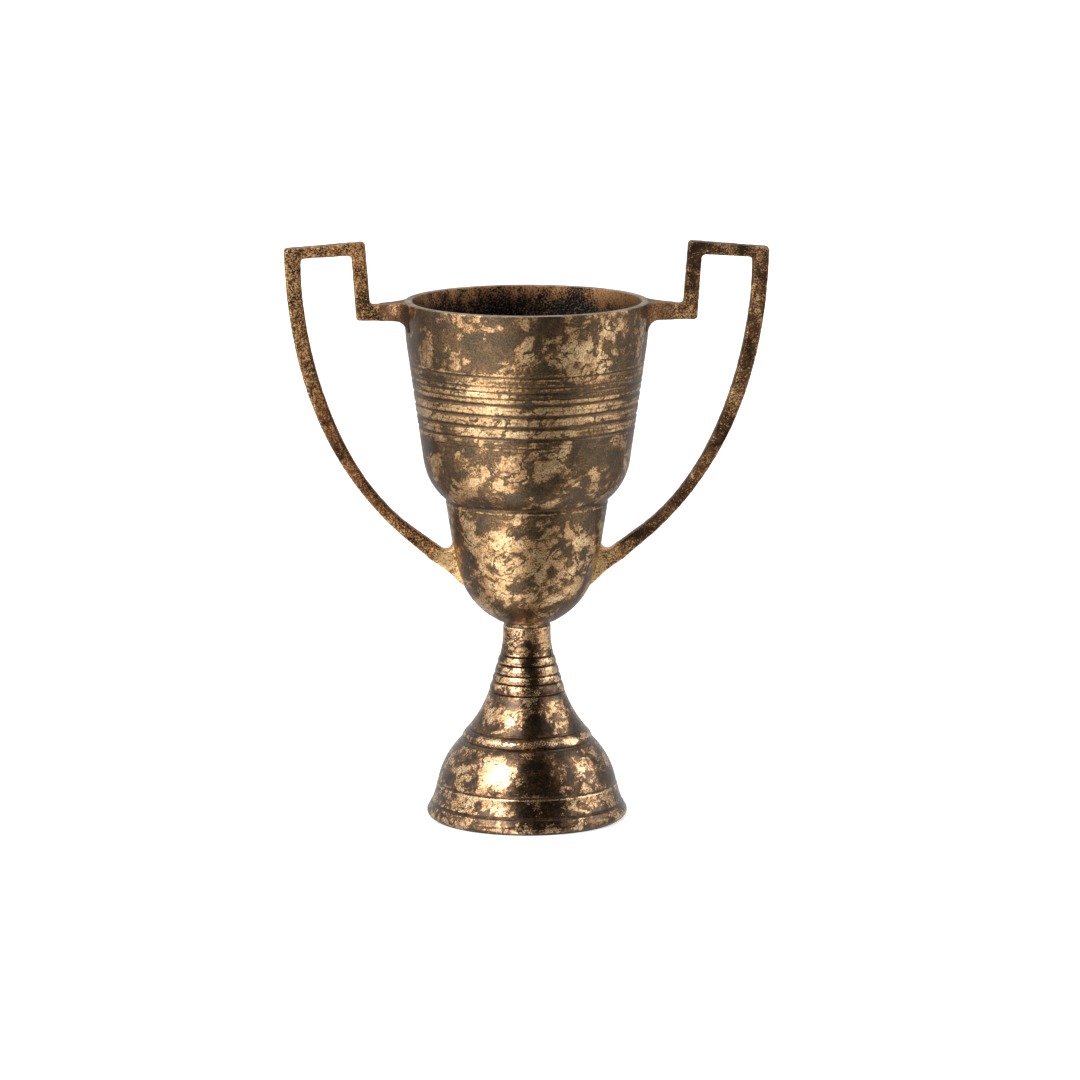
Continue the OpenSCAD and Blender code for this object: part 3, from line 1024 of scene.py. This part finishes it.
@dataclass
class Foot:
    """The hollow foot casting: bottom ring, band, bell, bead, flare, ringed stem and neck.

    Attributes:
        foot_r: Radius at the widest ring.
        base_z: Underside of the metal, where the felt is glued.
        seam_z: Height of the joint with the bowl.
        neck_r: Radius of the neck at that joint.
        bore_r: Radius of the bore for the stud.
        roof_z: Roof of the hollow.
        stem_grooves: Heights of the five grooves in the stem.
        stem_low_r: Radius of the stem at the lowest of them.
        stem_slope: Radius gained there per millimetre of height.
        shoulder_slope: The same at the grooves beside the bead.
        ring_depth: Depth of the grooves.
        segments: Steps round the axis.
    """

    foot_r: float = field(default_factory=lambda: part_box("foot")[1].x / MM)
    base_z: float = field(default_factory=lambda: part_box("foot")[0].z / MM)
    seam_z: float = field(default_factory=lambda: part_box("foot")[1].z / MM)
    neck_r: float = 12.5
    bore_r: float = 4.3
    roof_z: float = 64.0
    stem_grooves: tuple[float, ...] = (67.0, 72.5, 76.8, 81.8, 86.5)
    stem_low_r: float = 19.9
    stem_slope: float = -0.297
    shoulder_slope: float = -0.8
    ring_depth: float = 0.6
    segments: int = 224

    def stem_r(self, z: float) -> float:
        """Radius of the ringed stem at a height."""
        return self.stem_low_r + self.stem_slope * (z - self.stem_grooves[0])

    def cut(self, z: float, r: float, slope: float) -> list[Pair]:
        """Outline of a narrow groove with rounded lips."""
        profile = ((-0.75, 0.0), (-0.45, 0.12), (-0.25, 0.7), (0.0, 1.0), (0.25, 0.7), (0.45, 0.12),
                   (0.75, 0.0))
        return [(r + slope * s - d * self.ring_depth, z + s) for s, d in profile]

    def outside(self) -> list[Pair]:
        """Outline of the outer surface, from the base up to the seam."""
        r = self.foot_r
        points = [(r - 2, self.base_z)]
        points += arc((r - 1.3, self.base_z), (r, 2.8), (r - 0.9, 5.8), 10)
        points += [(r - 1.5, 7.3), (r - 1.9, 7.9), (r - 2.5, 8.15), (r - 2.75, 8.5), (r - 2.6, 9.0)]
        points += arc((49.8, 9.3), (48.35, 13.4), (47.4, 17.4), 8)
        points += [(47.25, 17.9), (46.9, 18.2), (46.55, 18.5), (46.5, 18.9), (46.7, 19.3)]
        points += arc((46.7, 19.7), (42.6, 31.0), (35.3, 41.0), 20)
        points += self.cut(41.8, 34.5, self.shoulder_slope)
        points += arc((34.1, 42.7), (33.25, 44.6), (31.9, 46.3), 8)
        points += self.cut(47.2, 31.1, self.shoulder_slope)
        points += arc((30.3, 48.1), (24.6, 56.5), (self.stem_r(66.2), 66.2), 18)
        for low, high in zip(self.stem_grooves, self.stem_grooves[1:]):
            points += self.cut(low, self.stem_r(low), self.stem_slope)
            middle = (low + high) / 2
            points += arc((self.stem_r(low + 0.8), low + 0.8), (self.stem_r(middle) + 0.22, middle),
                          (self.stem_r(high - 0.8), high - 0.8), 5)
        points += self.cut(high, self.stem_r(high), self.stem_slope)
        points += arc((13.75, 87.4), (self.neck_r + 0.35, 92.5), (self.neck_r, self.seam_z - 0.6), 14)
        points += [(self.neck_r - 0.1, self.seam_z - 0.25), (self.neck_r - 0.4, self.seam_z)]
        return points

    def hollow(self) -> list[Pair]:
        """Outline of the bore and hollow, from the seam down to the base."""
        r = self.foot_r - 5.7
        points = [(self.bore_r, self.seam_z), (self.bore_r, self.roof_z), (13.4, self.roof_z),
                  (15.4, self.roof_z - 1.4)]
        points += arc((17, 61), (20.8, 55.4), (26.6, 47.6), 8)
        points += arc((31, 41.4), (38.7, 30.6), (43, 19.5), 10)
        points += [(r - 1.4, 10.2), (r, self.base_z + 1), (r, self.base_z), (self.foot_r - 2, self.base_z)]
        return points

    def spots(self) -> tuple[Spot, ...]:
        """Places where the foot is rubbed bright or has kept its patina, and where bared metal and kept
        patina are painted highlights and painted shade.
        """
        return spots_from(
            # painted highlights: (-17, 41, 30), (-9, 25, 55) and (-7, 17, 76) bare the metal where the
            # left soft box's highlight falls on the bell, flare and stem; painted shade: (6, 42, 30) and
            # (3, 27, 52) keep patina in the dark reflection band down the front of the bell and flare; the
            # other spots are wear and kept patina
            (-17, 41, 30, 14, 0.20), (-30, 45, 25, 14, 0.08), (-9, 25, 55, 9, 0.11),
            (-7, 17, 76, 12, 0.13), (6, 42, 30, 13, -0.16), (3, 27, 52, 9, -0.10),
            (14, 46, 24, 9, -0.06), (30, 44, 28, 13, 0.06), (16, 25, 56, 10, 0.11),
            (-38, 50, 5, 12, 0.06), (5, 50, 13, 13, -0.06), (31, 52, 13, 9, 0.04),
            # painted highlight: (12, 17, 78) bares the metal where the right soft box lights the stem
            (38, 52, 4, 13, -0.11), (12, 17, 78, 11, 0.17), (2, 12.5, 96, 9, 0.06),
        )

    def build(self) -> None:
        """Models the foot and dresses it."""
        foot = lathe("foot_bell", dense(self.outside(), 1.1) + dense(self.hollow(), 3.0), self.segments)
        cuts = tuple((z, 0.9, 1.0) for z in self.stem_grooves)
        finish = Patina(
            "foot_bronze", dark=(0.070, 0.045, 0.028), brown=(0.27, 0.142, 0.063), tan=(0.60, 0.37, 0.18),
            gold=(0.84, 0.61, 0.38), copper=(0.62, 0.33, 0.155), patch=9.0, cover=0.503,
            rough_dark=0.22, rough_bare=0.25, redness=0.6, relief=0.04, coat=0.32, powder=0.32,
            dark_lines=((8.4, 1.2, 1.2), (18.8, 0.7, 1.2), (24.0, 4.5, 0.4), (41.4, 1.8, 1.2),
                        (47.6, 1.6, 1.2), (50.5, 3.0, 0.4)) + cuts,
            worn_lines=((3.2, 2.8, 0.6), (17.7, 0.6, 1.2), (44.6, 1.4, 1.2), (95.0, 8.0, 0.5),
                        (101.6, 0.7, 1.2)),
            seed=0.431, spots=self.spots(),
        )
        foot.data.materials.append(finish.material())
        hand_over(foot, "foot_copper", "foot")


# ---- The handles ------------------------------------------------------------------------


@dataclass
class Handle:
    """One cast handle with the braze metal at both of its ends.

    Attributes:
        side: Where the handle stands.
        depth: Depth of the bar along Y.
        top: Height of the top inner corner.
        reach: Distance from the middle to the outside.
        rim_r: Radius of the rim that the upper arm meets.
        arm_top: Height of the arm's top at the rim.
        arm_corner: Where the arm's top turns up, as (x, z).
        arm_under: Height of the arm's underside.
        flare_r: Radius of the braze fillets beside the arm.
        under_r: Radius of the braze fillet under the arm.
        end_under: Last point of the bar's underside, as (x, z).
        end_top: Last point of its top, likewise.
        turn_under: Where the underside passes into the braze.
        turn_top: Where the top does.
    """

    side: Side
    depth: float = 10.0
    top: float = 304.0
    reach: float = 125.9
    rim_r: float = 63.5
    arm_top: float = 272.7
    arm_corner: Pair = (81.0, 271.1)
    arm_under: float = 262.8
    flare_r: float = 14.0
    under_r: float = 5.0
    end_under: Pair = (48.2, 135.8)
    end_top: Pair = (44.4, 142.8)
    turn_under: Pair = (50.7, 137.4)
    turn_top: Pair = (46.9, 144.8)

    def edges(self) -> tuple[list[Pair], list[Pair]]:
        """Gives the two edges of the bar, point by point from the rim to its lower end."""
        step_in, step_out = self.arm_corner, (88.5, self.arm_under)
        step_top, loop_in = (83.6, self.top), (90.9, self.top - 7.3)
        bar_corner, loop_out = (self.reach, self.top - 3.5), (116.7, self.top - 8.8)
        upper_root, lower_root = (self.rim_r - 2.5, self.arm_top), (self.rim_r - 2.5, self.arm_under)
        outside = curve((self.reach - 0.3, self.top - 10), (self.reach - 2.5, 236.0), (105.9, 181.8),
                        (56.8, 142.7), 90)
        inside = curve((116.8, self.top - 12), (116.7, 249.0), (99.3, 183.9), (60.7, 155.0), 90)
        near = [upper_root]
        far = [lower_root]
        for steps, a_before, a, a_after, a_r, b_before, b, b_after, b_r in (
            (10, upper_root, step_in, step_top, 1.1, lower_root, step_out, loop_in, 1.8),
            (14, step_in, step_top, bar_corner, 2.0, step_out, loop_in, loop_out, 1.6),
            (16, step_top, bar_corner, outside[0], 1.6, loop_in, loop_out, inside[0], 1.6),
        ):
            a_turn = rounded(a_before, a, a_after, a_r)
            b_turn = rounded(b_before, b, b_after, b_r)
            near += straight(near[-1], a_turn[0], steps) + a_turn
            far += straight(far[-1], b_turn[0], steps) + b_turn
        near += outside + straight(outside[-1], self.turn_under, 5) + [self.turn_under, self.end_under]
        far += inside + straight(inside[-1], self.turn_top, 5) + [self.turn_top, self.end_top]
        return near, far

    def mirrored(self, outline: Sequence[Pair]) -> list[Pair]:
        """Puts a right-hand outline on this handle's side."""
        return [(self.side.value * x, z) for x, z in outline]

    def bar(self) -> bpy.types.Object:
        """Models the cast bar."""
        near, far = self.edges()
        name = f"handle_bar_{self.side.name.lower()}"
        piece = ribbon(name, self.mirrored(near), self.mirrored(far), self.depth)
        soften(piece, bevel=1.3, voxel=0.62, passes=4)
        roughen(piece, grain=3.4, depth=0.42)
        return piece

    def rim_flare(self) -> bpy.types.Object:
        """Models the braze that flares the arm into the rim: a web as wide as its fillets."""
        x_end = math.sqrt((self.rim_r + self.flare_r) ** 2 - (self.depth / 2 + self.flare_r) ** 2)
        steps = 16
        level = self.arm_under * MM
        front, back = [], []
        for i in range(steps + 1):
            x = self.rim_r - 2.2 + (x_end + 1.5 - self.rim_r + 2.2) * (1 - i / steps)
            drop = math.sqrt(max(0.0, self.flare_r ** 2 - (x - x_end) ** 2)) if x < x_end else self.flare_r
            half = self.depth / 2 + self.flare_r - drop
            front.append(Vector((self.side.value * x * MM, -half * MM, level)))
            back.append(Vector((self.side.value * x * MM, half * MM, level)))
        height = self.arm_top - self.arm_under
        name = f"rim_braze_web_{self.side.name.lower()}"
        piece = strip(name, front, back, Vector((0, 0, height * MM)))
        slope = (self.arm_top - self.arm_corner[1]) / (self.arm_corner[0] - self.rim_r + 3)
        for vertex in piece.data.vertices:
            x = abs(vertex.co.x) / MM
            if vertex.co.z > level + MM:
                vertex.co.z -= max(0.0, x - self.rim_r + 3) * slope * MM
            else:
                vertex.co.z -= self.fillet_drop(self.rim_r + self.under_r - 0.9 - x) * MM
        soften(piece, bevel=0.9, voxel=0.5, passes=4)
        roughen(piece, grain=3.0, depth=0.12)
        return piece

    def fillet_drop(self, gone: float) -> float:
        """Tells how far the fillet under the arm hangs down, this far in from its outer end."""
        inwards = min(max(0.0, gone), self.under_r)
        return self.under_r - math.sqrt(self.under_r ** 2 - inwards ** 2)

    def cup_web(self) -> bpy.types.Object:
        """Models the gold braze between the bar's lower end and the lower cup."""
        corner = (38.0, 138.0)
        upper = [(48.6, 146.1), self.turn_top]
        upper += rounded(self.turn_top, corner, (38.9, 145.6), 3.4) + [(36.4, 145.6)]
        count = len(upper) - 1
        lower_path = dense([(52.6, 139.0), self.turn_under, (44.1, 133.1), (39.2, 129.0), (36.4, 126.2),
                            (34.2, 124.3), (31.0, 122.4)], 0.5)
        lower = [lower_path[round(i * (len(lower_path) - 1) / count)] for i in range(count + 1)]
        name = f"cup_braze_web_{self.side.name.lower()}"
        piece = ribbon(name, self.mirrored(lower), self.mirrored(upper), self.depth + 0.6)
        for vertex in piece.data.vertices:
            near_cup = max(0.0, 1 - (abs(vertex.co.x) / MM - 36.0) / 6.0)
            vertex.co.y *= 1 + 0.14 * near_cup ** 2
        soften(piece, bevel=1.2, voxel=0.42, passes=6)
        roughen(piece, grain=2.5, depth=0.22)
        return piece

    def build(self) -> None:
        """Models and dresses the bar and its braze."""
        name = self.side.name.lower()
        seed = 0.1 * self.side.value
        # painted shade: a spot with less gold over the middle of each bar; painted light: a little more
        # gold at the left bar's top outer corner
        if self.side is Side.LEFT:
            cast = CastBronze(f"handle_cast_{name}", (0.050, 0.024, 0.011), (0.29, 0.125, 0.047),
                              (0.88, 0.54, 0.25), 0.532, 0.16, seed,
                              spots=spots_from((-88, 0, 190, 52, -0.05), (-120, 0, 290, 30, 0.015)))
        else:
            cast = CastBronze(f"handle_cast_{name}", (0.042, 0.022, 0.012), (0.22, 0.105, 0.043),
                              (0.90, 0.57, 0.28), 0.572, 0.42, seed,
                              spots=spots_from((84, 0, 180, 50, -0.03)))
        rim_braze = CastBronze(f"rim_braze_{name}", (0.085, 0.045, 0.024), (0.32, 0.165, 0.078),
                               (0.72, 0.46, 0.25), 0.59, 0.3, seed)
        gold_braze = CastBronze(f"gold_braze_{name}", (0.15, 0.066, 0.028), (0.58, 0.29, 0.115),
                                (0.95, 0.615, 0.285), 0.43, 0.35, seed, (41.0, 52.0))
        for model, finish, slot, node in (
            (self.bar, cast, "handle_bronze", f"handle_{name}"),
            (self.rim_flare, rim_braze, "rim_braze", f"rim_braze_{name}"),
            (self.cup_web, gold_braze, "gold_braze", f"cup_braze_{name}"),
        ):
            piece = model()
            piece.data.materials.append(finish.material())
            hand_over(piece, slot, node)


# ---- The clamp and the felt -------------------------------------------------------------


@dataclass
class Clamp:
    """The stud, washers and nut that pull the foot against the bowl.

    Attributes:
        pitch: Pitch of the thread.
        thread_depth: Depth of the thread.
        chamfer: Chamfer of the stud's ends and of the nut's corners.
        bore_r: Radius of the nut's bore.
    """

    pitch: float = 1.25
    thread_depth: float = 0.6
    chamfer: float = 0.7
    bore_r: float = 4.0

    def stud(self) -> bpy.types.Object:
        """Models the threaded stud as a stack of thread ridges."""
        low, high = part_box("clamp_stud")
        radius, bottom, top = high.x / MM, low.z / MM, high.z / MM
        points = [(0.0, bottom), (radius - self.chamfer, bottom)]
        ridges = int((top - bottom - 2 * self.chamfer) / self.pitch)
        start = bottom + self.chamfer
        for i in range(ridges):
            z = start + i * self.pitch
            points += [(radius - self.thread_depth, z), (radius, z + self.pitch * 0.44),
                       (radius, z + self.pitch * 0.56)]
        points += [(radius - self.thread_depth, start + ridges * self.pitch), (radius - self.chamfer, top),
                   (0.0, top)]
        return lathe("clamp_stud_thread", points, 48, 25)

    def nut(self) -> bpy.types.Object:
        """Models the nut: a hexagon bored and chamfered."""
        low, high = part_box("clamp_nut")
        middle = (low + high) / 2
        height = high.z - low.z
        object_mode()
        bpy.ops.mesh.primitive_cylinder_add(vertices=6, radius=high.x, depth=height, location=middle,
                                            rotation=(0, 0, math.pi / 6))
        nut = bpy.context.object
        nut.name = nut.data.name = "clamp_nut_hexagon"
        bpy.ops.object.transform_apply(location=True, rotation=True, scale=True)
        bore, corner = self.bore_r, high.x / MM
        flat, beyond = corner - 1.3, corner + 0.2
        z0, z1, c = low.z / MM, high.z / MM, self.chamfer
        body = [(bore, z0), (flat, z0), (beyond, z0 + c), (beyond, z1 - c), (flat, z1), (bore, z1),
                (bore, z0)]
        cutter = lathe("nut_cutter", body, 96, 25)
        modify(nut, "BOOLEAN", operation="INTERSECT", object=cutter)
        pick(cutter)
        bpy.ops.object.delete()
        return settle(nut, 25)

    def build(self) -> None:
        """Models the stud and nut and dresses them and both washers."""
        plate = Plain("zinc_plate", (0.38, 0.38, 0.36), (0.58, 0.58, 0.56), 0.36, 0.95, zone=4, grain=0.4)
        zinc = plate.material()
        stud = self.stud()
        stud.data.materials.append(zinc)
        hand_over(stud, "zinc_steel", "clamp_stud")
        nut = self.nut()
        nut.data.materials.clear()
        nut.data.materials.append(zinc)
        hand_over(nut, "zinc_steel", "clamp_nut")
        for name in ("clamp_washer", "spring_washer"):
            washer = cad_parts[name]
            washer.data.materials.clear()
            washer.data.materials.append(zinc)
            LOG.info("%s: CAD node kept and dressed", name)


@dataclass
class BaseFelt:
    """The thin felt ring glued under the foot.

    Attributes:
        width: Width of the ring.
        edge: Rounding of its lower edges.
        edge_top: Rounding of its upper edges.
    """

    width: float = 3.2
    edge: float = 0.25
    edge_top: float = 0.05

    def build(self) -> None:
        """Models the ring with soft edges and dresses it."""
        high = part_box("base_felt")[1]
        outer, top = high.x / MM, high.z / MM
        inner = outer - self.width
        e, t = self.edge, self.edge_top
        points = [(inner + e, 0.0), (outer - e, 0.0), (outer, e), (outer, top - t), (outer - t, top),
                  (inner + t, top), (inner, top - t), (inner, e), (inner + e, 0.0)]
        ring = lathe("felt_ring", dense(points, 0.8), 192, 60)
        wool = Plain("base_felt_wool", (0.02, 0.018, 0.016), (0.055, 0.05, 0.045), 0.95, 0.0,
                     zone=3, grain=0.35, relief=0.1)
        ring.data.materials.append(wool.material())
        hand_over(ring, "felt", "base_felt")


# ---- The studio -------------------------------------------------------------------------


@dataclass
class Studio:
    """Camera, floor and soft light.

    Attributes:
        distance: Distance from the cup's axis to the camera.
        height: Height of the camera.
        pitch: How far it looks down, in degrees.
        aside: How far it stands round the cup towards the left handle, in degrees.
        aim: How far it turns from the axis, in degrees.
        lens: Focal length on a 36 mm sensor.
        table: Light from below the horizon, as (azimuth in degrees, level); 0 is the camera's side.
        walls: Light from above the horizon, likewise.
        panels: Soft boxes in the room, as middle azimuth, width, lowest and highest elevation,
            softness of the edge, all in degrees, and power.
    """

    distance: float = 3.0
    height: float = 0.673
    pitch: float = 9.95
    aside: float = 2.0
    aim: float = 0.131
    lens: float = 194.5
    table: tuple[Pair, ...] = (
        (-180, 0.5), (-130, 0.5), (-100, 0.45), (-84, 0.8), (-68, 1.6), (-26, 2.2), (-12, 0.75), (0, 0.26),
        (30, 0.20), (48, 0.5), (75, 1.1), (105, 0.75), (130, 0.5), (180, 0.5),
    )
    walls: tuple[Pair, ...] = (
        (-180, 0.6), (-120, 0.7), (-95, 1.1), (-70, 1.2), (-25, 0.55), (-10, 0.05), (35, 0.02), (55, 0.35),
        (90, 0.6), (120, 0.5), (180, 0.6),
    )
    panels: tuple[tuple[float, float, float, float, float, float], ...] = (
        (-46, 36, 18, 60, 15, 3.6), (92, 26, 8, 46, 12, 2.4),
    )

    def camera(self) -> None:
        """Places the camera and makes it the scene's."""
        object_mode()
        turn = math.radians(self.aside)
        at = (-self.distance * math.sin(turn), -self.distance * math.cos(turn), self.height)
        facing = (math.radians(90 - self.pitch), 0, -turn - math.radians(self.aim))
        bpy.ops.object.camera_add(location=at, rotation=facing)
        eye = bpy.context.object
        eye.name = "studio_camera"
        eye.data.lens = self.lens
        eye.data.sensor_width = 36
        eye.data.clip_end = 100
        bpy.context.scene.camera = eye

    def floor(self) -> None:
        """Lays a wide pale floor that the metal doesn't mirror."""
        object_mode()
        bpy.ops.mesh.primitive_plane_add(size=60)
        sheet = bpy.context.object
        sheet.name = "pale_floor"
        g = Surface("pale_paper")
        tone = g.blend(g.noise(400.0, 2.0), (0.90, 0.90, 0.90), (0.93, 0.93, 0.93))
        sheet.data.materials.append(g.dress(tone, 0.9, 0.0))
        g.shader.inputs["Emission Color"].default_value = (1, 1, 1, 1)
        g.shader.inputs["Emission Strength"].default_value = 0.55
        sheet.visible_glossy = False

    def lamp(self, name: str, azimuth: float, elevation: float, away: float, size: Pair,
             power: float) -> None:
        """Hangs one soft box, aimed at the bowl.

        Args:
            name: Name of the light.
            azimuth: Direction from the cup, in degrees; 0 is the camera's side and 90 is +X.
            elevation: Its height as an angle, in degrees.
            away: Distance from the bowl.
            size: Width and height.
            power: Power in watts.
        """
        centre = Vector((0, 0, 0.16))
        a, e = math.radians(azimuth), math.radians(elevation)
        direction = Vector((math.sin(a) * math.cos(e), -math.cos(a) * math.cos(e), math.sin(e)))
        object_mode()
        bpy.ops.object.light_add(type="AREA", location=centre + direction * away,
                                 rotation=direction.to_track_quat("Z", "Y").to_euler())
        lamp = bpy.context.object
        lamp.name = name
        lamp.data.shape = "RECTANGLE"
        lamp.data.size, lamp.data.size_y = size
        lamp.data.energy = power

    def surroundings(self) -> None:
        """Paints the room that the metal mirrors, by azimuth and elevation, and a white backdrop."""
        world = bpy.data.worlds.new("studio_room")
        bpy.context.scene.world = world
        world.use_nodes = True
        g = Graph(world.node_tree, "Generated")
        azimuth = g.math("ARCTAN2", g.x, g.math("MULTIPLY", g.y, -1.0))
        round_share = g.math("MULTIPLY_ADD", azimuth, 0.5 / math.pi, 0.5)
        rise = g.math("ARCSINE", g.z)
        table = g.levels(round_share, [((a + 180) / 360, v) for a, v in self.table])
        walls = g.levels(round_share, [((a + 180) / 360, v) for a, v in self.walls])
        light = g.mix(g.step(rise, math.radians(-8), math.radians(6)), table, walls)
        for middle, width, low, high, soft, power in self.panels:
            away = g.math("ABSOLUTE", g.math("SUBTRACT", azimuth, math.radians(middle)))
            near_edge, far_edge = math.radians(width / 2 - soft), math.radians(width / 2 + soft)
            across = g.step(away, near_edge, far_edge, reverse=True)
            upward = g.band(rise, math.radians(low), math.radians(high), math.radians(soft))
            light = g.add_scaled(light, g.product(across, upward), power)
        room = g.add("ShaderNodeBackground")
        g.feed(room.inputs["Color"], (1.0, 0.99, 0.97))
        g.feed(room.inputs["Strength"], light)
        white = g.add("ShaderNodeBackground")
        g.feed(white.inputs["Color"], (1.0, 1.0, 1.0))
        choose = g.add("ShaderNodeMixShader")
        g.feed(choose.inputs[0], g.add("ShaderNodeLightPath").outputs["Is Camera Ray"])
        g.feed(choose.inputs[1], room.outputs[0])
        g.feed(choose.inputs[2], white.outputs[0])
        g.feed(g.add("ShaderNodeOutputWorld").inputs["Surface"], choose.outputs[0])

    def build(self) -> None:
        """Sets up the whole studio."""
        self.camera()
        self.floor()
        self.surroundings()
        self.lamp("left_softbox", -42, 38, 1.6, (0.7, 1.1), 4)
        self.lamp("right_fill", 62, 25, 1.9, (0.8, 1.2), 2)
        self.lamp("back_top", 175, 60, 1.8, (1.6, 0.8), 4)
        bpy.context.scene.view_settings.view_transform = "Standard"


def main() -> None:
    """Builds the studio and every sub-assembly in order, and reports each piece."""
    logging.basicConfig(level=logging.INFO, format="%(name)s: %(message)s")
    Studio().build()
    Cup().build()
    Foot().build()
    for side in Side:
        Handle(side).build()
    Clamp().build()
    BaseFelt().build()


if __name__ == "__main__":
    main()
